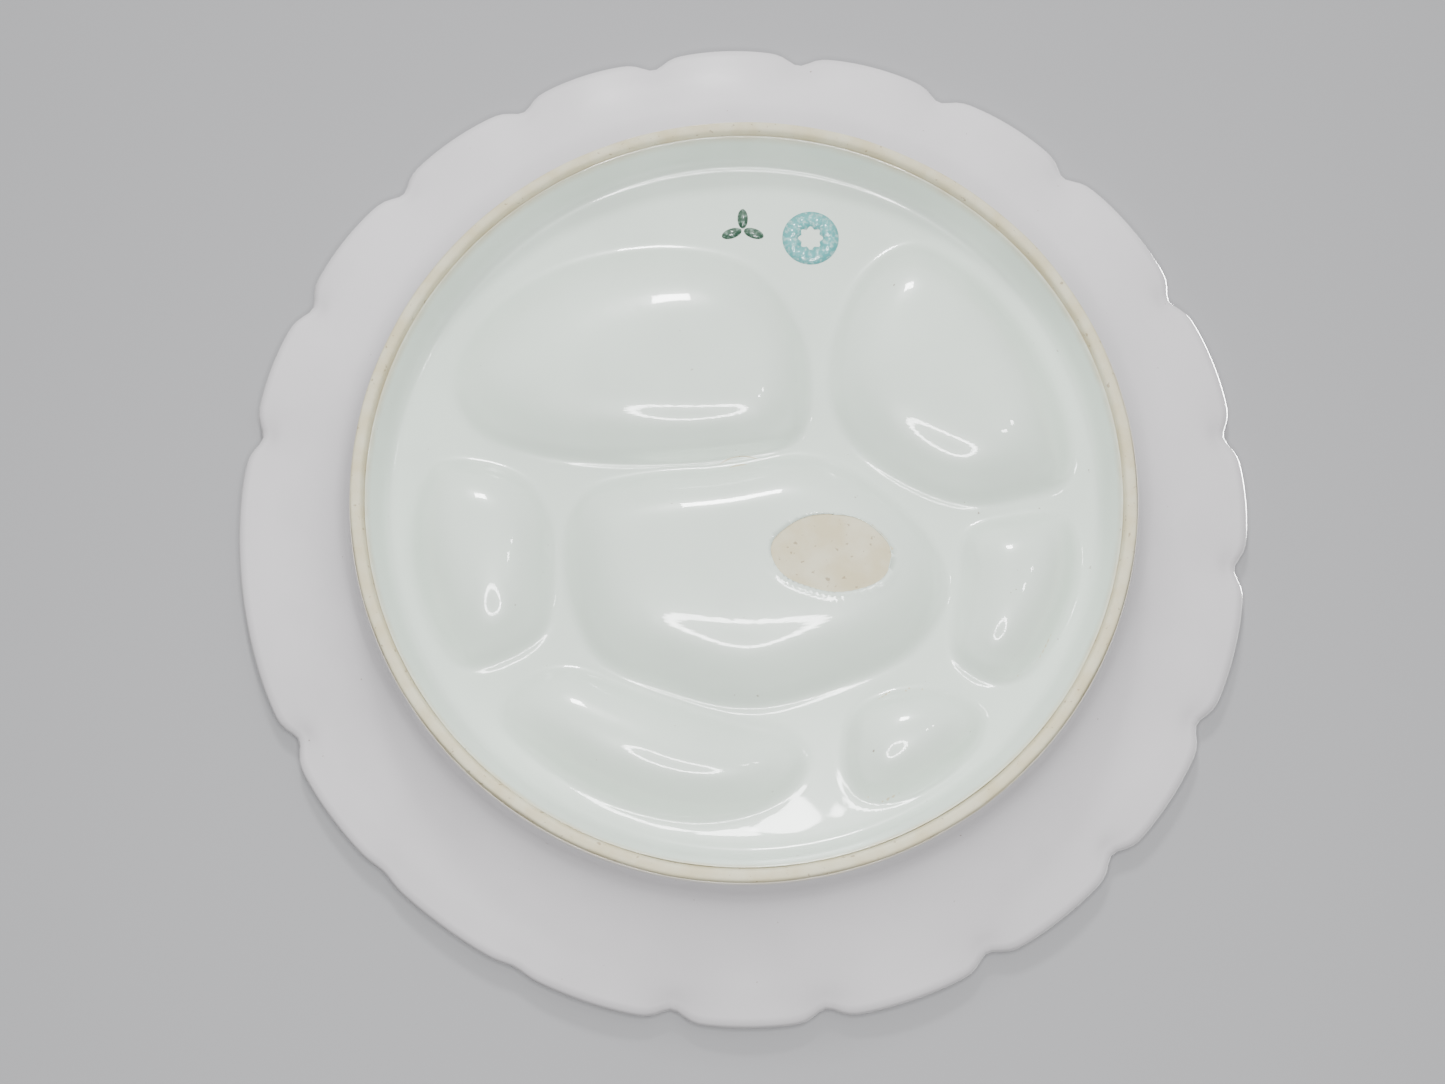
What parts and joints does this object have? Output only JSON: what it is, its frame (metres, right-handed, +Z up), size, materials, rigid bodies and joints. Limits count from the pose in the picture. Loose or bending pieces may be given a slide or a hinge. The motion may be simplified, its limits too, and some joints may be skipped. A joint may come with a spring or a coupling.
{
  "type": "mixing palette",
  "caption": "Round glazed porcelain mixing palette with shallow wells in its face, a nicked rim and a tall unglazed foot ring.",
  "frame": {"origin": "centre of the foot ring, on the surface that the palette stands on", "axes": "+Z up out of the wells, +Y towards the printed marks under the floor, +X to their right seen from above"},
  "size_m": [0.2213, 0.2212, 0.0244],
  "materials": {
    "biscuit": "matt unglazed porcelain",
    "white_glaze": "glossy white glaze",
    "celadon_glaze": "glossy greenish white glaze",
    "teal_print": "teal ceramic print",
    "green_print": "dark green ceramic print"
  },
  "bodies": {
    "root": {"plate_body": "biscuit", "foot_ring": "biscuit", "face_glaze": "white_glaze", "underside_glaze": "celadon_glaze", "ring_stamp": "teal_print", "sprig_stamp": "green_print"}
  },
  "joints": []
}
